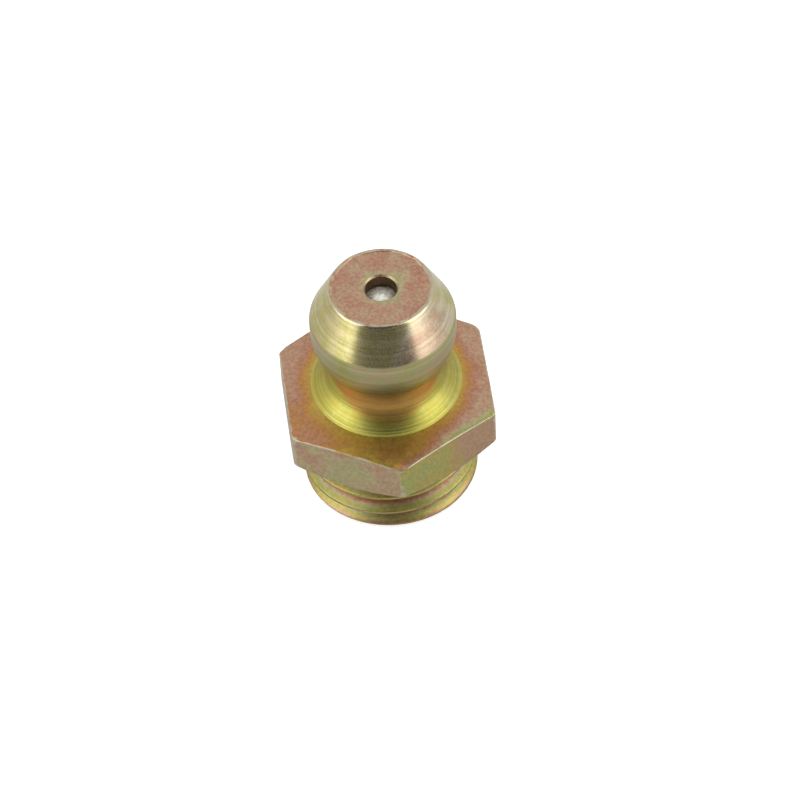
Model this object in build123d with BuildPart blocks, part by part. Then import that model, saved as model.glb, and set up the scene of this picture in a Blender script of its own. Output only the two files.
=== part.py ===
from build123d import *
from math import acos, cos, degrees, pi, radians, sin, sqrt, tan
import os

# A straight hydraulic grease nipple with an M8 shank and a 9 mm hexagon, standing on the end
# of its shank. The body is one turning from hexagon bar. A steel ball and a compression
# spring behind it close the inlet from inside, and a rolled lip at the shank's end keeps
# them in. Z is the nipple's axis, from the shank's end (Z = 0) up to the head's face.
# All sizes are in millimetres.

# ---- Driving sizes: outside ----
total_length = 12.0

shank_diameter = 7.8        # major diameter of the M8 x 1 thread, modelled plain
shank_length = 3.25         # shank's end to the hexagon's underside
shank_chamfer = 0.43

hex_across_flats = 9.0
hex_height = 2.4            # underside to the upper end of the corner edges
hex_crown_angle = 7.8       # slope of the top face
hex_under_diameter = 8.7    # flat part of the underside
hex_under_angle = 38.0      # slope of the chamfer below the flats
hex_edge_break = 0.1        # rounding of the six upright edges

flare_diameter = 6.7        # ring where the neck's flare meets the top face
flare_radius = 2.0          # hollow sweep from the ring up to the neck

neck_diameter = 4.9
neck_least_length = 0.04    # straight neck kept between the flare and the head's back

head_diameter = 6.41        # the land that the coupler's jaws grip behind
head_face_diameter = 4.54
head_face_bevel = 0.06
head_cone_height = 1.7      # face to the cone's lower edge
head_shoulder_height = 0.3  # rounding between the cone and the land
head_shoulder_radius = 0.72
head_land_height = 0.4
head_back_radius = 2.97     # rounded back of the head, from the land in to the neck

# ---- Driving sizes: valve ----
inlet_diameter = 1.4
inlet_length = 0.7          # face to the start of the seat
inlet_break = 0.08
seat_angle = 45.0           # slope of the conical seat
bore_diameter = 2.8
lip_height = 0.85           # shank's end to the ledge that carries the spring
lip_throat_diameter = 1.8
lip_dish_diameter = 4.0     # dish left by the tool that rolled the lip in
lip_dish_depth = 0.45

ball_diameter = 2.4
ball_clearance = 0.02       # left between the closed ball and its seat

spring_diameter = 2.2       # outside of the coils
spring_wire = 0.25
spring_clearance = 0.02     # left at the ball, at the ledge and between closed coils
spring_closed_turns = 1     # at each end
spring_active_turns = 6
wire_sides = 8              # flats round the wire, which keep the coil's faces few
points_per_turn = 12

# ---- Worked out from those: radii ----
shank_radius = shank_diameter / 2
hex_corner_radius = hex_across_flats / sqrt(3)
hex_under_radius = hex_under_diameter / 2
flare_ring_radius = flare_diameter / 2
neck_radius = neck_diameter / 2
land_radius = head_diameter / 2
face_edge_radius = head_face_diameter / 2
inlet_radius = inlet_diameter / 2
bore_radius = bore_diameter / 2
throat_radius = lip_throat_diameter / 2
dish_radius = lip_dish_diameter / 2
ball_radius = ball_diameter / 2
wire_radius = spring_wire / 2
coil_radius = spring_diameter / 2 - wire_radius

# ---- Worked out from those: heights above the shank's end ----
hex_base = shank_length
hex_corner_base = hex_base + (hex_corner_radius - hex_under_radius) * tan(radians(hex_under_angle))
hex_corner_top = hex_base + hex_height
flare_ring_height = hex_corner_top + (hex_corner_radius - flare_ring_radius) * tan(radians(hex_crown_angle))
cone_base = total_length - head_cone_height
land_top = cone_base - head_shoulder_height
land_base = land_top - head_land_height
seat_top = total_length - inlet_length
seat_base = seat_top - (bore_radius - inlet_radius) * tan(radians(seat_angle))

# The ball touches the seat's cone where its surface has the cone's slope.
seat_contact_radius = ball_radius * sin(radians(seat_angle))
seat_contact_height = seat_top - (seat_contact_radius - inlet_radius) * tan(radians(seat_angle))
ball_height = seat_contact_height - ball_radius * cos(radians(seat_angle)) - ball_clearance


def arc_rise(radius, step):
    """Height of an arc that starts upright and leans in or out by a step."""
    return sqrt(step * (2 * radius - step))


def arc_radius(rise, step):
    """Radius of the arc of that height."""
    return (rise**2 + step**2) / (2 * step)


def arc_turn(radius, step):
    """Degrees that such an arc turns through."""
    return degrees(acos(1 - step / radius))


# The shoulder leans in from the land to the cone's lower edge.
shoulder_step = head_shoulder_radius - sqrt(head_shoulder_radius**2 - head_shoulder_height**2)
shoulder_turn = arc_turn(head_shoulder_radius, shoulder_step)

# The waist runs from the flare's ring up to the land. Where it is too short for the flare and
# the head's back, both give way in proportion.
waist = land_base - flare_ring_height
flare_step = flare_ring_radius - neck_radius
back_step = land_radius - neck_radius
flare_rise = arc_rise(flare_radius, flare_step)
back_rise = arc_rise(head_back_radius, back_step)
waist_room = min(1, (waist - neck_least_length) / (flare_rise + back_rise))
flare_arc = arc_radius(flare_rise * waist_room, flare_step)
back_arc = arc_radius(back_rise * waist_room, back_step)
flare_top = flare_ring_height + flare_rise * waist_room


def turned_outline():
    """Draw half of the body's outside, from the shank's end up to the face."""
    Polyline(
        (0, 0),
        (shank_radius - shank_chamfer, 0),
        (shank_radius, shank_chamfer),
        (shank_radius, hex_base),
        (hex_under_radius, hex_base),
        (hex_corner_radius, hex_corner_base),
        (hex_corner_radius, hex_corner_top),
        (flare_ring_radius, flare_ring_height),
    )
    JernArc((neck_radius, flare_top), (0, -1), flare_arc, arc_turn(flare_arc, flare_step))
    back = JernArc((land_radius, land_base), (0, -1), back_arc, -arc_turn(back_arc, back_step))
    Line((neck_radius, flare_top), back @ 1)
    Line((land_radius, land_base), (land_radius, land_top))
    shoulder = JernArc((land_radius, land_top), (0, 1), head_shoulder_radius, shoulder_turn)
    Polyline(
        shoulder @ 1,
        (face_edge_radius, total_length - head_face_bevel),
        (face_edge_radius - head_face_bevel, total_length),
        (0, total_length),
        (0, 0),
    )


def bore_outline():
    """Draw half of the passage: inlet, seat, bore, spring ledge, throat and dish."""
    Polyline(
        (0, total_length),
        (inlet_radius + inlet_break, total_length),
        (inlet_radius, total_length - inlet_break),
        (inlet_radius, seat_top),
        (bore_radius, seat_base),
        (bore_radius, lip_height),
        (throat_radius, lip_height),
        (throat_radius, lip_dish_depth),
        (dish_radius, 0),
        (0, 0),
        (0, total_length),
    )


# ---- Body: hexagon bar, turned, with the upright edges broken, then bored ----
with BuildPart() as nipple_body:
    with BuildSketch():
        RegularPolygon(radius=hex_across_flats / 2, side_count=6, major_radius=False)
    extrude(amount=total_length)
    fillet(nipple_body.edges().filter_by(Axis.Z), radius=hex_edge_break)
    with BuildSketch(Plane.XZ):
        with BuildLine():
            turned_outline()
        make_face()
    revolve(axis=Axis.Z, mode=Mode.INTERSECT)
    with BuildSketch(Plane.XZ):
        with BuildLine():
            bore_outline()
        make_face()
    revolve(axis=Axis.Z, mode=Mode.SUBTRACT)

# ---- Check ball, closed against its seat ----
with BuildPart() as check_ball:
    with Locations((0, 0, ball_height)):
        Sphere(ball_radius)

# ---- Spring: closed ends, wire centre from the ledge up to the ball's underside ----
coil_base = lip_height + wire_radius + spring_clearance
ball_reach = ball_radius + wire_radius + spring_clearance
coil_top = ball_height - sqrt(ball_reach**2 - coil_radius**2)
closed_pitch = spring_wire + spring_clearance
closed_rise = spring_closed_turns * closed_pitch
active_pitch = (coil_top - coil_base - 2 * closed_rise) / spring_active_turns
spring_turns = 2 * spring_closed_turns + spring_active_turns


def coil_height(turn):
    """Height of the wire's centre after so many turns: closed, then open, then closed."""
    if turn <= spring_closed_turns:
        return coil_base + turn * closed_pitch
    if turn >= spring_turns - spring_closed_turns:
        return coil_top - (spring_turns - turn) * closed_pitch
    return coil_base + closed_rise + (turn - spring_closed_turns) * active_pitch


def coil_point(step):
    """A point of the wire's centre line."""
    turn = step / points_per_turn
    angle = 2 * pi * turn
    return (coil_radius * cos(angle), coil_radius * sin(angle), coil_height(turn))


with BuildPart() as spring:
    with BuildLine() as coil:
        Spline([coil_point(step) for step in range(spring_turns * points_per_turn + 1)])
    with BuildSketch(Plane(coil.line @ 0, z_dir=coil.line % 0)):
        RegularPolygon(radius=wire_radius, side_count=wire_sides)
    sweep(path=coil.line, is_frenet=True)

nipple_body.part.label = "nipple_body"
check_ball.part.label = "check_ball"
spring.part.label = "spring"

os.makedirs("parts", exist_ok=True)
export_step(nipple_body.part, "parts/nipple_body.step")
export_step(check_ball.part, "parts/check_ball.step")
export_step(spring.part, "parts/spring.step")
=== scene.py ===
import random
from collections import namedtuple
from math import cos, pi, radians, sin, sqrt, tan

import bmesh
import bpy
import numpy as np
from mathutils import Matrix, Vector


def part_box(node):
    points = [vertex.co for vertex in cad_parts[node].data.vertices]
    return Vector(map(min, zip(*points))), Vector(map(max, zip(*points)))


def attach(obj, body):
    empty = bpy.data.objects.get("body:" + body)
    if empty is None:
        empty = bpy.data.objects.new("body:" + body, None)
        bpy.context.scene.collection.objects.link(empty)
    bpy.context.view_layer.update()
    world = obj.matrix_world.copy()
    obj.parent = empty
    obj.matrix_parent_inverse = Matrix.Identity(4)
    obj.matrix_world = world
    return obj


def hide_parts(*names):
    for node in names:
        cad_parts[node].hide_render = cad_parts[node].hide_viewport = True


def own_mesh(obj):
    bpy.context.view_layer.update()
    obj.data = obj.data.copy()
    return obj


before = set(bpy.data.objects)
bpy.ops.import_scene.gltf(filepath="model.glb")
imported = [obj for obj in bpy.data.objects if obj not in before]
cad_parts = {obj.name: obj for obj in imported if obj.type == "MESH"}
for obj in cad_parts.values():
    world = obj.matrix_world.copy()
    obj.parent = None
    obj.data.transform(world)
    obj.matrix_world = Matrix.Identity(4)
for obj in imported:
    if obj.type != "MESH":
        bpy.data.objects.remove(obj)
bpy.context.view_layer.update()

# The looks of a straight hydraulic grease nipple: a body turned from hexagon bar and plated
# with yellow-passivated zinc, a check ball and its spring. The body's pieces are drawn afresh,
# in place of the CAD solid, with the thread, broken edges, tool marks and worn plating. Lengths
# are in millimetres, Z up from the shank's end, and MM turns them into metres.
MM = 0.001

# ---- Sizes shared with the CAD model ----
_, body_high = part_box("nipple_body")
ball_low, ball_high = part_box("check_ball")
spring_low, spring_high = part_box("spring")
TOTAL_LENGTH = body_high.z / MM
HEX_FLAT_RADIUS = body_high.y / MM
HEX_CORNER_RADIUS = HEX_FLAT_RADIUS / cos(pi / 6)
HEX_BASE = 3.25
HEX_HEIGHT = 2.4                    # underside to the upper end of the upright edges
HEX_CORNER_TOP = HEX_BASE + HEX_HEIGHT
CROWN_SLOPE = tan(radians(7.8))
FLARE_RING_RADIUS = 3.35
FLARE_ARC = 2.0
NECK_RADIUS = 2.45
BACK_ARC = 2.97
LAND_RADIUS = 3.205
LAND_HEIGHT = 0.4
SHOULDER_ARC = 0.72
SHOULDER_HEIGHT = 0.3
CONE_HEIGHT = 1.7
FACE_RADIUS = 2.27                  # the cone and the face would meet here
CONE_BASE = TOTAL_LENGTH - CONE_HEIGHT
LAND_TOP = CONE_BASE - SHOULDER_HEIGHT
LAND_BASE = LAND_TOP - LAND_HEIGHT
INLET_RADIUS = 0.7
INLET_LENGTH = 0.7
INLET_BREAK = 0.08
SEAT_TOP = TOTAL_LENGTH - INLET_LENGTH
BORE_RADIUS = 1.4
SEAT_BASE = SEAT_TOP - (BORE_RADIUS - INLET_RADIUS)
THROAT_RADIUS = 0.9
LEDGE_HEIGHT = 0.85
DISH_RADIUS = 2.0
DISH_DEPTH = 0.45
WIRE_RADIUS = 0.125
COIL_RADIUS = 0.975
COIL_TURNS = 8                      # with a closed one at each end
CLOSED_PITCH = 0.27

# ---- Sizes that follow the photo more closely than the CAD model does ----
UNDER_RADIUS = 4.0
UNDER_SLOPE = tan(radians(29))
UPRIGHT_EDGE_ROUNDING = 0.3

# ---- Thread, M8 x 1, right-hand, with 60 degrees between its flanks ----
THREAD_PITCH = 1.0
CREST_RADIUS = 3.9
ROOT_RADIUS = 3.287
CREST_HALF_WIDTH = 0.0625
ROOT_ROUNDING = 0.144
THREAD_CHAMFER = 0.43
FIRST_CREST_HEIGHT = 0.31           # of the lowest crest, in the direction of THREAD_MARK
THREAD_MARK = radians(-64)
THREAD_START_HEIGHTS = (0.3, 1.1)   # over which the groove grows to its full depth
RUN_OUT_RADIUS = 3.6                # plain neck left between the thread and the hexagon
RUN_OUT_HEIGHTS = (2.8, 3.1)

# ---- Broken edges and tool marks ----
RIM_BREAK = 0.1
BURR_WIDTH = 0.08                   # of the raised burr inside the face's rim
BURR_HEIGHT = 0.03
BURR_BREAK = 0.01
MOUTH_BREAK = 0.03
FINE_BREAK = 0.025
HEX_EDGE_BREAK = 0.045
EDGE_WAVES = (2, 5, 9, 14, 23)      # counts round the axis of the waves that make a break uneven
EDGE_WAVE_SIZES = (0.08, 0.2)       # least and most of a wave, as shares of the break
EDGE_BREAK_RANGE = (0.35, 2)        # least and most of an uneven break, as shares of an even one
GROOVE_PITCH = 0.125
GROOVE_DEPTH = 0.011
WEAR_REACH = 0.03                   # how far the wear of an edge reaches onto its faces
UPRIGHT_WEAR_ANGLE = 2.2            # degrees from a corner at which its wear ends
CREST_WEAR = 0.8
CREST_WEAR_REACH = 1.5              # in half-widths of the crest
KNOCK_DROP = 0.5                    # how far a knock goes down, as a share of how far it goes in

# ---- How finely the pieces are divided ----
HEAD_COLUMNS = 320                  # round the axis
WAIST_COLUMNS = 256
HEXAGON_COLUMNS = 360
BORE_COLUMNS = 128
THREAD_COLUMNS = 320
EDGE_COLUMNS = np.linspace(-2, 2, 17)   # extra columns, in degrees from each upright edge
EDGE_ROWS = 6
THREAD_ROWS_PER_TURN = 40
WIRE_ROWS_PER_TURN = 40
WIRE_SIDES = 16
BALL_SUBDIVISIONS = 5
MERGE_DISTANCE = 0.0002             # points nearer than this become one

# ---- Camera ----
CAMERA_TURN = radians(25)
CAMERA_TILT = radians(49.85)
CAMERA_ROLL = radians(-3.25)
CAMERA_DISTANCE = 200.0
CAMERA_AIM = Vector((0, 0, HEX_CORNER_TOP))
AIM_OFFSET = (-0.595, 0.773)        # where the aim point lies in the view, right and up
LENS = 203.85
SENSOR = 36.0


# ---- Outlines ----
# An outline is a start and a chain of stretches. Each runs from the last one's end to its own
# radius and height in this many rows, straight or as an arc of radius bend, positive where it
# bulges out. The edge at its end is broken back by edge and worn by worn, and grooves is the
# depth of its tool marks. Points are complex: radius + height * 1j.
Stretch = namedtuple("Stretch", "radius height finish rows bend edge worn grooves", defaults=(0, 0, 0, 0))


def along(start, end, bend, shares):
    """Points at these shares of a stretch."""
    if not bend:
        return start + (end - start) * shares
    chord = end - start
    sideways = -1j * np.sign(bend) * chord / abs(chord)
    centre = (start + end) / 2 + sideways * np.sqrt(bend**2 - abs(chord) ** 2 / 4)
    turn = np.angle((end - centre) / (start - centre))
    return centre + (start - centre) * np.exp(1j * turn * shares)


def grooved(points, length, depth):
    """Press the fine rings left by a turning tool, uneven in depth and pitch, into a stretch."""
    step = np.linspace(0, 1, len(points))[:, None] * length
    slow_change = 0.35 * np.sin(step * 2.9)
    quick_change = 0.25 * np.sin(step * 7.3 + 1)
    pitch_change = 0.8 * np.sin(step * 5.1)
    wave = (1 - np.cos(2 * pi * step / GROOVE_PITCH + pitch_change)) / 2
    direction = np.gradient(points, axis=0)
    inward = -1j * direction / abs(direction)
    fade = np.clip((length - step) / GROOVE_PITCH, 0, 1) * (step / length) ** 2
    return points + inward * depth * (1 + slow_change + quick_change) * wave * fade


def trace(start, stretches, columns):
    """Rows of points along an outline, the wear at each point, and the finish between rows."""
    here = np.full(columns, complex(*start))
    rows = []
    edge, worn = 0, 0
    for stretch in stretches:
        goal = stretch.radius + stretch.height * 1j + np.zeros(columns)
        length = abs(goal - here)
        spread = np.linspace(0, 1, stretch.rows + 1)[:, None]
        if not stretch.grooves:
            spread = (1 - np.cos(pi * spread)) / 2
        first, last = edge / length, 1 - stretch.edge / length
        shares = first + (last - first) * spread
        points = along(here, goal, stretch.bend, shares)
        if stretch.grooves:
            points = grooved(points, length, stretch.grooves)
        near_start = worn * np.exp((edge - shares * length) / WEAR_REACH)
        near_end = stretch.worn * np.exp((stretch.edge - (1 - shares) * length) / WEAR_REACH)
        rows.append((points, np.maximum(near_start, near_end), stretch.finish, here, edge, worn))
        here, edge, worn = goal, stretch.edge, stretch.worn
    return join(rows)


def join(rows):
    """Join stretches into one grid, with a small curve across each broken edge."""
    points, wear, finishes = [], [], []
    for number, (stretch, stretch_wear, finish, corner, edge, worn) in enumerate(rows):
        broken = number and np.any(edge)
        if broken:
            before = points[-1][-1]
            share = np.linspace(0, 1, EDGE_ROWS + 1)[1:-1, None]
            curve = (1 - share) ** 2 * before + 2 * share * (1 - share) * corner + share**2 * stretch[0]
            points.append(curve)
            wear.append(np.ones(curve.shape) * worn)
            finishes += [rows[number - 1][2]] * (EDGE_ROWS // 2) + [finish] * (EDGE_ROWS - EDGE_ROWS // 2)
        elif number:
            stretch, stretch_wear = stretch[1:], stretch_wear[1:]
        points.append(stretch)
        wear.append(stretch_wear)
        finishes += [finish] * (len(stretch) - (1 if broken or not number else 0))
    return np.concatenate(points), np.concatenate(wear), finishes


def arc_rise(radius, step):
    """Height of an arc that starts upright and leans in or out by a step."""
    return sqrt(step * (2 * radius - step))


def neck_top():
    """Height of the crease where the head's rounded back meets the neck."""
    return LAND_BASE - arc_rise(BACK_ARC, LAND_RADIUS - NECK_RADIUS)


def crown_height(radius):
    """Height of the hexagon's sloping top at a radius."""
    return HEX_CORNER_TOP + (HEX_CORNER_RADIUS - radius) * CROWN_SLOPE


def from_corner(angles):
    """Angle from the nearest corner of the hexagon."""
    return np.abs((angles + pi / 6) % (pi / 3) - pi / 6)


def hexagon_radius(angles):
    """Radius of the hexagon bar in each direction, with its upright edges rounded."""
    centre = (HEX_FLAT_RADIUS - UPRIGHT_EDGE_ROUNDING) / cos(pi / 6)
    beside = from_corner(angles)
    tangent = (UPRIGHT_EDGE_ROUNDING / 2) / (centre + UPRIGHT_EDGE_ROUNDING * cos(pi / 6))
    across = np.minimum(centre * np.sin(beside), UPRIGHT_EDGE_ROUNDING)
    rounding = centre * np.cos(beside) + np.sqrt(UPRIGHT_EDGE_ROUNDING**2 - across**2)
    return np.where(np.tan(beside) < tangent, rounding, HEX_FLAT_RADIUS / np.cos(pi / 6 - beside))


def uneven(size, angles, seed):
    """An edge break that varies round the axis, as knocks leave it."""
    waves = random.Random(seed)
    change = np.zeros_like(angles)
    for count in EDGE_WAVES:
        change += waves.uniform(*EDGE_WAVE_SIZES) * np.sin(count * angles + waves.uniform(0, 2 * pi))
    return size * np.clip(1 + change, *EDGE_BREAK_RANGE)


def head_outline(angles):
    """From the hole's edge over the face, cone, land and back to the neck."""
    cone_radius = LAND_RADIUS - SHOULDER_ARC + sqrt(SHOULDER_ARC**2 - (CONE_BASE - LAND_TOP) ** 2)
    rim = uneven(RIM_BREAK, angles, seed=3)
    face = TOTAL_LENGTH - BURR_HEIGHT
    burr = FACE_RADIUS - rim - BURR_WIDTH
    return (INLET_RADIUS, face - INLET_BREAK), [
        Stretch(INLET_RADIUS + INLET_BREAK, face, "mouth", 5, edge=MOUTH_BREAK),
        Stretch(burr, face, "face", 20, edge=BURR_BREAK, worn=0.4),
        Stretch(burr + BURR_WIDTH / 2, TOTAL_LENGTH, "face", 3, edge=BURR_BREAK, worn=1),
        Stretch(FACE_RADIUS, TOTAL_LENGTH, "face", 3, edge=rim, worn=1),
        Stretch(cone_radius, CONE_BASE, "cone", 24, edge=FINE_BREAK, worn=0.35),
        Stretch(LAND_RADIUS, LAND_TOP, "land", 6, bend=SHOULDER_ARC),
        Stretch(LAND_RADIUS, LAND_BASE, "land", 4),
        Stretch(NECK_RADIUS, neck_top(), "land", 26, bend=BACK_ARC),
    ]


def waist_outline():
    """From the crease under the head down the neck to the flare's ring."""
    ring = crown_height(FLARE_RING_RADIUS)
    flare_top = ring + arc_rise(FLARE_ARC, FLARE_RING_RADIUS - NECK_RADIUS)
    return (NECK_RADIUS, neck_top()), [
        Stretch(NECK_RADIUS, flare_top, "neck", 2),
        Stretch(FLARE_RING_RADIUS, ring, "neck", 150, bend=-FLARE_ARC, grooves=GROOVE_DEPTH),
    ]


def hexagon_outline(angles):
    """From the flare's ring over the hexagon's top and flats to its underside."""
    hexagon = hexagon_radius(angles)
    top_edge = uneven(HEX_EDGE_BREAK, angles, seed=8)
    under_edge = uneven(FINE_BREAK, angles, seed=5)
    under_height = HEX_BASE + (hexagon - UNDER_RADIUS) * UNDER_SLOPE
    return (FLARE_RING_RADIUS, crown_height(FLARE_RING_RADIUS)), [
        Stretch(hexagon, crown_height(hexagon), "crown", 24, edge=top_edge, worn=1),
        Stretch(hexagon, under_height, "flats", 24, edge=under_edge, worn=0.6),
        Stretch(UNDER_RADIUS, HEX_BASE, "flats", 8, edge=FINE_BREAK, worn=0.5),
        Stretch(RUN_OUT_RADIUS, HEX_BASE, "flats", 2),
    ]


def bore_outline():
    """The shank's end and the passage, from the thread's foot up to the hole's edge."""
    return (CREST_RADIUS - THREAD_CHAMFER, 0), [
        Stretch(DISH_RADIUS, 0, "end", 8, edge=FINE_BREAK, worn=0.5),
        Stretch(THROAT_RADIUS, DISH_DEPTH, "end", 6, edge=FINE_BREAK, worn=0.3),
        Stretch(THROAT_RADIUS, LEDGE_HEIGHT, "bore", 3),
        Stretch(BORE_RADIUS, LEDGE_HEIGHT, "bore", 2),
        Stretch(BORE_RADIUS, SEAT_BASE, "bore", 12),
        Stretch(INLET_RADIUS, SEAT_TOP, "seat", 6),
        Stretch(INLET_RADIUS, TOTAL_LENGTH - BURR_HEIGHT - INLET_BREAK, "inlet", 8),
    ]


# ---- Colours ----
def linear(value):
    """A value as seen on screen, 0 to 255, turned into the linear one that a shader takes."""
    share = value / 255
    if value < 11:
        return share / 12.92
    return ((share + 0.055) / 1.055) ** 2.4


def paint(red, green, blue):
    """A colour as seen on screen, ready for a shader."""
    return linear(red), linear(green), linear(blue), 1


# The passivated film's colours, in the order in which they follow each other as it thickens.
# The names below give some of their places in it.
FILM = (
    paint(186, 158, 132),   # blush
    paint(202, 190, 162),   # cream
    paint(194, 182, 136),   # straw
    paint(168, 162, 76),    # lemon
    paint(178, 146, 74),    # gold
    paint(174, 126, 74),    # orange
    paint(170, 124, 100),   # brick
    paint(176, 141, 117),   # rose
    paint(170, 160, 122),   # sage
    paint(156, 158, 94),    # green
    paint(172, 154, 88),    # ochre
    paint(172, 140, 112),   # pink
)
BLUSH = 0
STRAW = 2
LEMON = 3
GOLD = 4
ORANGE = 5
BRICK = 6
ROSE = 7
SAGE = 8
GREEN = 9

WORN_ZINC = paint(184, 177, 154)
STEEL_SMEARS = paint(120, 118, 104)

# Noise scales are in patterns per millimetre. Most values of a noise lie in COMMON, and those
# nearest its mean in MIDDLE.
MOTTLE_SCALE = 2.2
WEAR_SCALE = 2.4
GRAIN_SCALE = 7.0
STREAK_SCALE = 7.0
COMMON = (0.3, 0.7)
MIDDLE = (0.35, 0.65)
WEAR_WEIGHT = 0.5                   # of a point's wear, which is added to a noise
BARE_RANGE = (0.88, 1.0)            # of that sum, over which the plating is rubbed off
BARE_SHARE = 0.8                    # of bare zinc where it is rubbed off
DULL_CHANGE = 0.02                  # of the plating's roughness, up and down
SMEAR_SHARE = 0.5
STEEL_DULL_CHANGE = 0.3             # of a steel's roughness, up and down, as a share of it


# ---- Materials ----
class Shader:
    """The nodes of one material, added one at a time. Positions in its patterns are in millimetres."""

    def __init__(self, name):
        self.material = bpy.data.materials.new(name)
        self.material.use_nodes = True
        self.tree = self.material.node_tree
        self.surface = self.tree.nodes["Principled BSDF"]
        metres = self.add("TexCoord", {}, "Object")
        self.place = self.add("VectorMath", {0: metres, "Scale": 1 / MM}, operation="SCALE")
        flat = self.add("VectorMath", {0: self.place, 1: (1, 1, 0)}, operation="MULTIPLY")
        self.radius = self.add("VectorMath", {0: flat}, "Value", operation="LENGTH")
        self.height = self.add("SeparateXYZ", {0: self.place}, "Z")
        self.rings = self.add("CombineXYZ", {0: self.radius, 1: self.height})
        self.wear = self.add("Attribute", {}, "Fac", attribute_name="wear")

    def add(self, kind, inputs, output=0, **settings):
        """Add a node with these inputs, each a value or another node's output, and return one output."""
        node = self.tree.nodes.new("ShaderNode" + kind)
        for setting, value in settings.items():
            setattr(node, setting, value)
        for socket, source in inputs.items():
            self.feed(node.inputs[socket], source)
        return node.outputs[output]

    def feed(self, socket, source):
        """Link an output to a socket, or set the socket's value."""
        if isinstance(source, bpy.types.NodeSocket):
            self.tree.links.new(source, socket)
        else:
            socket.default_value = source

    def math(self, operation, first, second):
        """The result of an operation on two values."""
        return self.add("Math", {0: first, 1: second}, operation=operation)

    def measure(self, what):
        """The radius, the height, or how far a place lies along a direction."""
        if what == "radius":
            return self.radius
        if what == "height":
            return self.height
        return self.add("VectorMath", {0: self.place, 1: what}, "Value", operation="DOT_PRODUCT")

    def noise(self, place, scale, detail, seed=0.0):
        """A cloudy pattern, different for each seed."""
        inputs = {"Vector": place, "Scale": scale, "Detail": detail, "W": seed}
        return self.add("TexNoise", inputs, noise_dimensions="4D")

    def remap(self, value, low, high, to_low, to_high):
        """A value moved smoothly from to_low to to_high as it goes from low to high."""
        inputs = {0: value, 1: low, 2: high, 3: to_low, 4: to_high}
        return self.add("MapRange", inputs, interpolation_type="SMOOTHSTEP")

    def grey(self, shade):
        """A grey of this shade."""
        return self.add("CombineColor", {0: shade, 1: shade, 2: shade})

    def mix(self, share, first, second, blend="MIX"):
        """Two colours mixed. The node's colour sockets are inputs 6 and 7 and output 2."""
        inputs = {0: share, 6: first, 7: second}
        return self.add("Mix", inputs, 2, data_type="RGBA", blend_type=blend)

    def ramp(self, value, colours):
        """The colour at a place in a run of colours, counted from 0."""
        colour = self.add("ValToRGB", {0: self.math("DIVIDE", value, len(colours) - 1)})
        stops = colour.node.color_ramp.elements
        stops[1].position = 1
        for number in range(1, len(colours) - 1):
            stops.new(number / (len(colours) - 1))
        for stop, shade in zip(stops, colours):
            stop.color = shade
        return colour

    def bump(self, height, depth, normal=None):
        """Small relief, on top of another's if its normal is given."""
        inputs = {"Height": height, "Distance": depth * MM}
        if normal:
            inputs["Normal"] = normal
        return self.add("Bump", inputs)

    def finish(self, **inputs):
        """Feed the surface's sockets, named with underscores for spaces."""
        for socket, source in inputs.items():
            self.feed(self.surface.inputs[socket.replace("_", " ")], source)
        return self.material


def plated(name, film, places=(), *, roughness, patches=0.4, patch_scale=0.6, mottle=0.3, speckle=0.2,
           tone=0.12, rings=0.0, grain_depth=0.003, seed=0.0):
    """Yellow-passivated zinc. film is its colour's place in FILM. It changes in patches, in mottle and
    in speckle, and by each of places: a measure (radius, height or a direction), its start and end,
    and the change. rings is the depth of its turning marks and grain_depth that of its grain."""
    shader = Shader(name)
    mottling = shader.noise(shader.place, MOTTLE_SCALE, 3.0)
    grain = shader.noise(shader.place, GRAIN_SCALE, 2.0)
    patch = shader.noise(shader.place, patch_scale, 3.0, seed)
    value = shader.remap(patch, *COMMON, film - patches, film + patches)
    value = shader.math("ADD", value, shader.remap(mottling, *COMMON, -mottle, mottle))
    value = shader.math("ADD", value, shader.remap(grain, *COMMON, -speckle, speckle))
    for measure, start, end, change in places:
        value = shader.math("ADD", value, shader.remap(shader.measure(measure), start, end, 0.0, change))
    colour = shader.ramp(value, FILM)
    streaks = shader.noise(shader.rings, STREAK_SCALE, 3.0)
    shade = shader.remap(streaks if rings else grain, *MIDDLE, 1 - tone, 1 + tone)
    colour = shader.mix(1.0, colour, shader.grey(shade), "MULTIPLY")
    rubbing = shader.math("MULTIPLY", shader.wear, WEAR_WEIGHT)
    rubbing = shader.math("ADD", shader.noise(shader.place, WEAR_SCALE, 5.0), rubbing)
    colour = shader.mix(shader.remap(rubbing, *BARE_RANGE, 0.0, BARE_SHARE), colour, WORN_ZINC)
    dull = shader.remap(grain, *COMMON, roughness - DULL_CHANGE, roughness + DULL_CHANGE)
    normal = shader.bump(grain, grain_depth)
    if rings:
        normal = shader.bump(streaks, rings, normal)
    return shader.finish(Base_Color=colour, Roughness=dull, Normal=normal, Metallic=1.0)


def plain_steel(name, colour, roughness, scratch_depth, scratch_scale=12.0, metallic=1.0):
    """Unplated steel with fine scratches or smears."""
    shader = Shader(name)
    scratches = shader.noise(shader.place, scratch_scale, 3.0)
    tint = shader.mix(shader.remap(scratches, *MIDDLE, 0.0, SMEAR_SHARE), colour, STEEL_SMEARS)
    normal = shader.bump(scratches, scratch_depth)
    change = roughness * STEEL_DULL_CHANGE
    dull = shader.remap(scratches, *COMMON, roughness - change, roughness + change)
    return shader.finish(Base_Color=tint, Roughness=dull, Normal=normal, Metallic=metallic)


def toward(degrees, rise=0.0):
    """A direction out from the axis, in degrees round it from +X, that may also rise."""
    return cos(radians(degrees)), sin(radians(degrees)), rise


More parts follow.
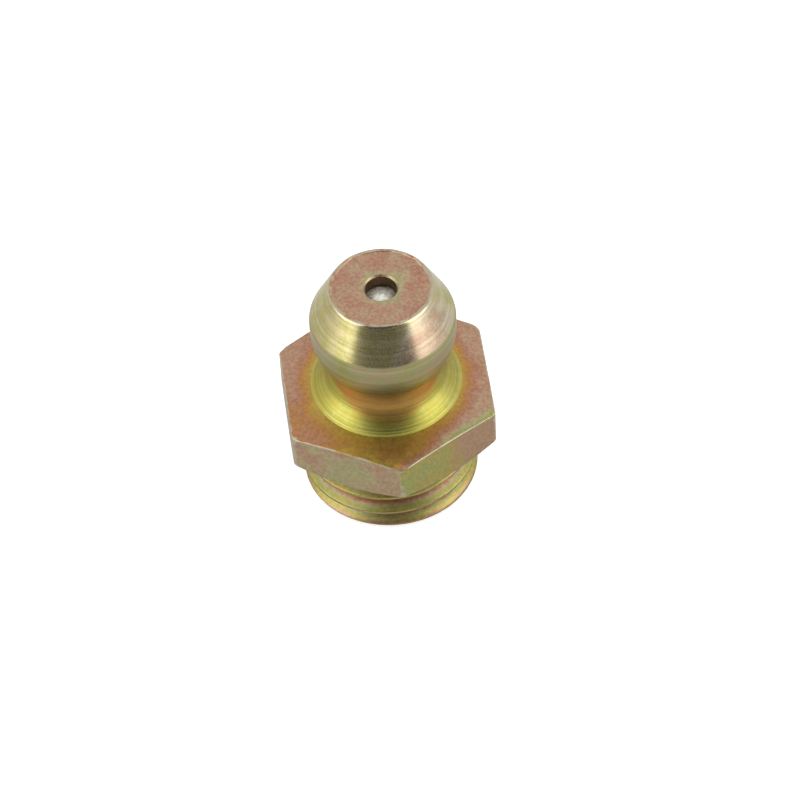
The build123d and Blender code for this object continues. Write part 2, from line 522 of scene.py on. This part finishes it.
MATERIALS = {
    "mouth": plated("plated_mouth", SAGE, roughness=0.45),
    "face": plated("plated_face", SAGE, [("radius", 0.8, 1.25, ROSE - 0.2 - SAGE)], roughness=0.38,
                   patches=0.5, patch_scale=0.9, speckle=0.15),
    "cone": plated("plated_cone", STRAW, [
        (toward(205), 1.9, 2.8, 0.6),
        (toward(-15), 2.0, 2.6, BLUSH - STRAW),
        (toward(-65), 1.6, 2.9, 0.3),
        (toward(25), 2.4, 3.0, 1.0),
    ], roughness=0.26, patches=0.3, mottle=0.2, rings=0.002, grain_depth=0.001),
    "land": plated("plated_land", SAGE + 0.3, roughness=0.41, patches=0.5, mottle=0.3, rings=0.003),
    "neck": plated("plated_neck", LEMON, [(toward(-65, 2), 15.2, 15.9, 1.4)], roughness=0.4, patches=0.2,
                   mottle=0.15, speckle=0.1, rings=0.003, grain_depth=0.0015),
    "crown": plated("plated_crown", GOLD, [
        ("radius", 3.3, 4.3, BRICK + 0.4 - GOLD),
        (toward(25), 2.6, 3.6, 0.6),
        (toward(-65), 3.2, 4.4, -1.8),
        (toward(-105), 3.0, 4.2, -0.9),
        (toward(-30), 3.95, 4.5, 2.4),
    ], roughness=0.36, patches=0.4, mottle=0.2, speckle=0.1),
    "flats": plated("plated_flats", SAGE - 0.3, [
        (toward(-30), 4.4, 4.45, 1.6),
        (toward(60), -1.6, 2.4, 2.1),
    ], roughness=0.38, patches=0.9, patch_scale=0.5, mottle=0.3, tone=0.1, grain_depth=0.005, seed=1.0),
    "thread": plated("plated_thread", BRICK, [
        ("height", 0.5, 1.0, ORANGE - BRICK),
        ("radius", 3.35, 3.85, GREEN + 0.6 - ORANGE),
    ], roughness=0.44),
    "end": plated("plated_end", ROSE, roughness=0.38),
    "bore": plated("plated_bore", ORANGE, roughness=0.45),
    # The inlet's wall: brown like the plating, and much darker than the plating as painted shade for the
    # deep, narrow hole.
    "inlet": plain_steel("inlet_plating_and_painted_shade", paint(120, 82, 54), 0.5, 0.001),
    "seat": plain_steel("bright_seat", paint(200, 196, 186), 0.35, 0.001),
    "ball": plain_steel("ball_steel", paint(246, 246, 234), 0.22, 0.03, scratch_scale=5.0, metallic=0.4),
    "spring": plain_steel("spring_steel", paint(150, 148, 142), 0.3, 0.001),
}


# ---- Mesh building ----
def sweep_angles(count, beside_edges=()):
    """Directions once round the axis, both ends included, with extra ones beside each hexagon edge."""
    angles = set(np.round(np.linspace(0, 2 * pi, count + 1), 6))
    for edge in range(7):
        angles |= {round(edge * pi / 3 + radians(step), 6) for step in beside_edges}
    return np.array(sorted(angle for angle in angles if 0 <= angle <= round(2 * pi, 6)))


def skin(name, grid, finishes, wear, body, stands_for):
    """A piece from a grid of points: rows along the outline, columns round the axis."""
    rows, columns, _ = grid.shape
    mesh = bpy.data.meshes.new(name)
    firsts = [row * columns + column for row in range(rows - 1) for column in range(columns - 1)]
    faces = [(first, first + columns, first + columns + 1, first + 1) for first in firsts]
    mesh.from_pydata((grid.reshape(-1, 3) * MM).tolist(), [], faces)
    used = sorted(set(finishes))
    for finish in used:
        mesh.materials.append(MATERIALS[finish])
    slots = [used.index(finishes[first // columns]) for first in firsts]
    mesh.polygons.foreach_set("material_index", slots)
    mesh.attributes.new("wear", "FLOAT", "POINT").data.foreach_set("value", wear.ravel())
    mesh.shade_smooth()
    work = bmesh.new()
    work.from_mesh(mesh)
    bmesh.ops.remove_doubles(work, verts=work.verts, dist=MERGE_DISTANCE * MM)
    work.to_mesh(mesh)
    work.free()
    return ride(name, mesh, body, stands_for)


def ride(name, mesh, body, stands_for):
    """Put a piece in the scene, on its body, in place of a CAD node."""
    piece = bpy.data.objects.new(name, mesh)
    bpy.context.collection.objects.link(piece)
    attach(piece, body)
    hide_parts(stands_for)
    return piece


def spin(points, angles):
    """The outline's points turned about the axis."""
    return np.stack([points.real * np.cos(angles), points.real * np.sin(angles), points.imag], axis=-1)


def turned(name, outline, angles, wear_at=None, knocks=()):
    """A piece of the body: an outline turned about the axis, with its wear and knocks."""
    start, stretches = outline
    points, wear, finishes = trace(start, stretches, len(angles))
    if wear_at:
        wear = np.maximum(wear, wear_at(angles, points))
    grid = spin(points, angles)
    for knock in knocks:
        dent(grid, wear, knock)
    skin(name, grid, finishes, wear, "body", "nipple_body")


# ---- The hexagon's wear ----
Knock = namedtuple("Knock", "angle radius height reach depth")


def dent(grid, wear, knock):
    """Press the small worn dent of a knock into the points near it, towards the axis and down."""
    place = np.array([knock.radius * cos(knock.angle), knock.radius * sin(knock.angle), knock.height])
    distance = np.linalg.norm(grid - place, axis=-1)
    share = np.clip(1 - (distance / knock.reach) ** 2, 0, 1) ** 2
    np.maximum(wear, share, out=wear)
    push = knock.depth * share
    grid[..., 0] -= push * cos(knock.angle)
    grid[..., 1] -= push * sin(knock.angle)
    grid[..., 2] -= push * KNOCK_DROP


def corner_knocks():
    """Two knocks on the front corner, and a lighter one on each of the others."""
    place = random.Random(21)
    top = HEX_CORNER_TOP + 0.02
    radius = HEX_CORNER_RADIUS - 0.1
    knocks = [
        Knock(radians(-60.5), HEX_CORNER_RADIUS - 0.05, top, reach=0.38, depth=0.07),
        Knock(radians(-58.8), radius, top - 0.2, reach=0.25, depth=0.03),
    ]
    for corner in range(5):
        angle = radians(60 * corner + place.uniform(-2, 2))
        height = top - place.uniform(0, 0.3)
        knocks.append(Knock(angle, radius, height, reach=place.uniform(0.2, 0.3), depth=0.04))
    return knocks


def upright_edge_wear(angles, points):
    """Wear along the hexagon's upright edges."""
    beside = np.clip(UPRIGHT_WEAR_ANGLE - np.degrees(from_corner(angles)), 0, 1)
    return beside * (points.real > HEX_FLAT_RADIUS) * (points.imag < HEX_CORNER_TOP)


# ---- Thread ----
def smooth_step(value, start, end):
    """From 0 at start to 1 at end, level at both."""
    share = np.clip((value - start) / (end - start), 0, 1)
    return share * share * (3 - 2 * share)


def thread_radius(angle, height):
    """Radius of the threaded shank, and how far each point lies below or above the nearest crest.

    The thread starts shallow over a chamfered foot and runs out under the hexagon."""
    lead = (angle - THREAD_MARK) / (2 * pi) * THREAD_PITCH
    half_pitch = THREAD_PITCH / 2
    from_crest = np.abs((height - FIRST_CREST_HEIGHT - lead + half_pitch) % THREAD_PITCH - half_pitch)
    flank = CREST_RADIUS - (from_crest - CREST_HALF_WIDTH) * sqrt(3)
    groove_centre = ROOT_RADIUS + ROOT_ROUNDING
    reach = np.minimum(np.abs(half_pitch - from_crest), ROOT_ROUNDING * cos(pi / 6))
    groove = groove_centre - np.sqrt(ROOT_ROUNDING**2 - reach**2)
    groove_start = half_pitch - ROOT_ROUNDING * cos(pi / 6)
    radius = np.where(from_crest > groove_start, groove, np.minimum(flank, CREST_RADIUS))
    radius = CREST_RADIUS + (radius - CREST_RADIUS) * smooth_step(height, *THREAD_START_HEIGHTS)
    radius = radius + (RUN_OUT_RADIUS - radius) * smooth_step(height, *RUN_OUT_HEIGHTS)
    return np.minimum(radius, CREST_RADIUS - THREAD_CHAMFER + height), from_crest


def make_thread(angles):
    """The threaded shank. Its rows follow the helix, so crests and roots run along them."""
    turns = HEX_BASE / THREAD_PITCH + 1
    steps = np.arange(int(turns * THREAD_ROWS_PER_TURN) + 2)[:, None]
    height = HEX_BASE + THREAD_PITCH * (angles / (2 * pi) - steps / THREAD_ROWS_PER_TURN)
    height = np.clip(height, 0, HEX_BASE)
    radius, from_crest = thread_radius(angles, height)
    wear = np.clip(CREST_WEAR_REACH - from_crest / CREST_HALF_WIDTH, 0, 1) * (radius > RUN_OUT_RADIUS)
    wear = wear * CREST_WEAR
    finishes = ["thread"] * (len(steps) - 1)
    grid = spin(radius + 1j * height, angles)
    skin("nipple_thread", grid, finishes, wear, "body", "nipple_body")


# ---- Ball and spring ----
def make_ball():
    """The check ball, finely divided because it mirrors the lights."""
    centre = (ball_low + ball_high) / 2
    work = bmesh.new()
    bmesh.ops.create_icosphere(work, subdivisions=BALL_SUBDIVISIONS, radius=(ball_high.x - ball_low.x) / 2)
    bmesh.ops.translate(work, verts=work.verts, vec=centre)
    mesh = bpy.data.meshes.new("steel_ball")
    work.to_mesh(mesh)
    work.free()
    mesh.shade_smooth()
    mesh.materials.append(MATERIALS["ball"])
    ride("steel_ball", mesh, "ball", "check_ball")


def coil_line():
    """The line of the wire's centre: a closed turn, the open turns and a closed turn."""
    base = spring_low.z / MM + WIRE_RADIUS
    top = spring_high.z / MM - WIRE_RADIUS
    turn = np.linspace(0, COIL_TURNS, COIL_TURNS * WIRE_ROWS_PER_TURN + 1)
    middle = base + CLOSED_PITCH + (turn - 1) * (top - base - 2 * CLOSED_PITCH) / (COIL_TURNS - 2)
    low_end = base + turn * CLOSED_PITCH
    high_end = top - (COIL_TURNS - turn) * CLOSED_PITCH
    height = np.where(turn <= 1, low_end, np.where(turn >= COIL_TURNS - 1, high_end, middle))
    return 2 * pi * turn, height


def make_spring():
    """The spring's round wire, closed at both ends."""
    angle, height = coil_line()
    outward = np.stack([np.cos(angle), np.sin(angle), 0 * angle], axis=-1)
    line = np.stack([COIL_RADIUS * np.cos(angle), COIL_RADIUS * np.sin(angle), height], axis=-1)
    forward = np.gradient(line, axis=0)
    forward /= np.linalg.norm(forward, axis=1)[:, None]
    upward = np.cross(outward, forward)
    around = np.linspace(0, 2 * pi, WIRE_SIDES + 1)[None, :, None]
    section = np.cos(around) * outward[:, None] + np.sin(around) * upward[:, None]
    grid = line[:, None] + WIRE_RADIUS * section
    low_cap = np.broadcast_to(line[0], grid[:1].shape)
    high_cap = np.broadcast_to(line[-1], grid[:1].shape)
    grid = np.concatenate([low_cap, grid, high_cap])
    wear = np.zeros(grid.shape[:2])
    piece = skin("round_spring", grid, ["spring"] * (len(grid) - 1), wear, "body", "spring")
    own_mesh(piece)


# ---- Pieces ----
head_angles = sweep_angles(HEAD_COLUMNS)
hexagon_angles = sweep_angles(HEXAGON_COLUMNS, EDGE_COLUMNS)
turned("nipple_head", head_outline(head_angles), head_angles)
turned("nipple_waist", waist_outline(), sweep_angles(WAIST_COLUMNS))
turned("nipple_hexagon", hexagon_outline(hexagon_angles), hexagon_angles, upright_edge_wear, corner_knocks())
turned("nipple_bore", bore_outline(), sweep_angles(BORE_COLUMNS))
make_thread(sweep_angles(THREAD_COLUMNS))
make_ball()
make_spring()


# ---- Camera ----
def make_camera():
    """The camera, looking down at the object's front corner."""
    look = Matrix.Rotation(CAMERA_TURN, 3, "Z") @ Matrix.Rotation(pi / 2 - CAMERA_TILT, 3, "X")
    look = look @ Matrix.Rotation(CAMERA_ROLL, 3, "Z")
    camera_data = bpy.data.cameras.new("camera")
    camera_data.lens = LENS
    camera_data.sensor_width = SENSOR
    camera_data.clip_start = 0.01
    camera = bpy.data.objects.new("camera", camera_data)
    bpy.context.collection.objects.link(camera)
    place = CAMERA_AIM - look @ Vector((*AIM_OFFSET, -CAMERA_DISTANCE))
    camera.matrix_world = Matrix.Translation(place * MM) @ look.to_4x4()
    bpy.context.scene.camera = camera


# ---- Light, floor and background ----
def stand(side, distance, height):
    """A place round the object: side is degrees right of the camera's direction."""
    turn = CAMERA_TURN - pi / 2 + radians(side)
    return Vector((cos(turn) * distance, sin(turn) * distance, height)) * MM


def softbox(name, side, distance, width, height, radiance):
    """An upright lamp that stands on the floor and faces the object."""
    lamp_data = bpy.data.lights.new(name, "AREA")
    lamp_data.shape = "RECTANGLE"
    lamp_data.size = width * MM
    lamp_data.size_y = height * MM
    lamp_data.energy = radiance * pi * lamp_data.size * lamp_data.size_y
    lamp = bpy.data.objects.new(name, lamp_data)
    bpy.context.collection.objects.link(lamp)
    lamp.location = stand(side, distance, height / 2)
    lamp.rotation_euler = (pi / 2, 0, CAMERA_TURN + radians(side))


def make_sheet(name, corners, material):
    """A flat sheet between four corners."""
    mesh = bpy.data.meshes.new(name)
    mesh.from_pydata(corners, [], [(0, 1, 2, 3)])
    mesh.materials.append(material)
    sheet = bpy.data.objects.new(name, mesh)
    bpy.context.collection.objects.link(sheet)
    return sheet


def make_dark_room(distance, width, height, tone):
    """The unlit room in front, which only reflections see."""
    across = width / 2 * MM
    up = height * MM
    material = bpy.data.materials.new("dark_room")
    material.use_nodes = True
    nodes = material.node_tree.nodes
    nodes.clear()
    glow = nodes.new("ShaderNodeEmission")
    glow.inputs["Color"].default_value = (tone, tone, tone, 1)
    out = nodes.new("ShaderNodeOutputMaterial")
    material.node_tree.links.new(glow.outputs[0], out.inputs[0])
    corners = [(-across, 0, 0), (across, 0, 0), (across, 0, up), (-across, 0, up)]
    card = make_sheet("dark_room", corners, material)
    card.location = stand(0, distance, 0)
    card.rotation_euler.z = CAMERA_TURN
    card.visible_camera = False
    card.visible_diffuse = False
    card.visible_shadow = False


def make_world(soft_light):
    """An even soft light. The camera and reflections see it as plain white."""
    world = bpy.data.worlds.new("studio")
    bpy.context.scene.world = world
    world.use_nodes = True
    nodes = world.node_tree.nodes
    links = world.node_tree.links
    nodes.clear()
    path = nodes.new("ShaderNodeLightPath")
    seen = nodes.new("ShaderNodeMath")
    seen.operation = "MAXIMUM"
    mirrored = nodes.new("ShaderNodeMath")
    mirrored.operation = "MAXIMUM"
    links.new(path.outputs["Is Glossy Ray"], mirrored.inputs[0])
    links.new(path.outputs["Is Transmission Ray"], mirrored.inputs[1])
    links.new(path.outputs["Is Camera Ray"], seen.inputs[0])
    links.new(mirrored.outputs[0], seen.inputs[1])
    soft = nodes.new("ShaderNodeBackground")
    soft.inputs["Strength"].default_value = soft_light
    white = nodes.new("ShaderNodeBackground")
    for background in (soft, white):
        background.inputs["Color"].default_value = (1, 1, 1, 1)
    blend = nodes.new("ShaderNodeMixShader")
    links.new(seen.outputs[0], blend.inputs[0])
    links.new(soft.outputs[0], blend.inputs[1])
    links.new(white.outputs[0], blend.inputs[2])
    out = nodes.new("ShaderNodeOutputWorld")
    links.new(blend.outputs[0], out.inputs[0])


def make_floor(reach, drop, tone, glow_seen):
    """A plain pale floor. The camera sees it a little brighter than it is lit."""
    edge = reach * MM
    below = -drop * MM
    material = bpy.data.materials.new("floor")
    material.use_nodes = True
    tree = material.node_tree
    surface = tree.nodes["Principled BSDF"]
    surface.inputs["Base Color"].default_value = (tone, tone, tone, 1)
    surface.inputs["Roughness"].default_value = 0.9
    surface.inputs["Specular IOR Level"].default_value = 0.0
    surface.inputs["Emission Color"].default_value = (1, 1, 1, 1)
    path = tree.nodes.new("ShaderNodeLightPath")
    glow = tree.nodes.new("ShaderNodeMath")
    glow.operation = "MULTIPLY"
    glow.inputs[1].default_value = glow_seen
    tree.links.new(path.outputs["Is Camera Ray"], glow.inputs[0])
    tree.links.new(glow.outputs[0], surface.inputs["Emission Strength"])
    corners = [(-edge, -edge, below), (edge, -edge, below), (edge, edge, below), (-edge, edge, below)]
    floor = make_sheet("floor", corners, material)


make_camera()
for lamp_name, lamp_side in (("left_softbox", -69), ("right_softbox", 69)):
    softbox(lamp_name, lamp_side, distance=250, width=212, height=440, radiance=1.6)
make_dark_room(distance=290, width=600, height=1080, tone=0.085)
make_world(soft_light=0.75)
make_floor(reach=3000, drop=0.01, tone=0.8, glow_seen=0.6)
bpy.context.scene.view_settings.view_transform = "Standard"
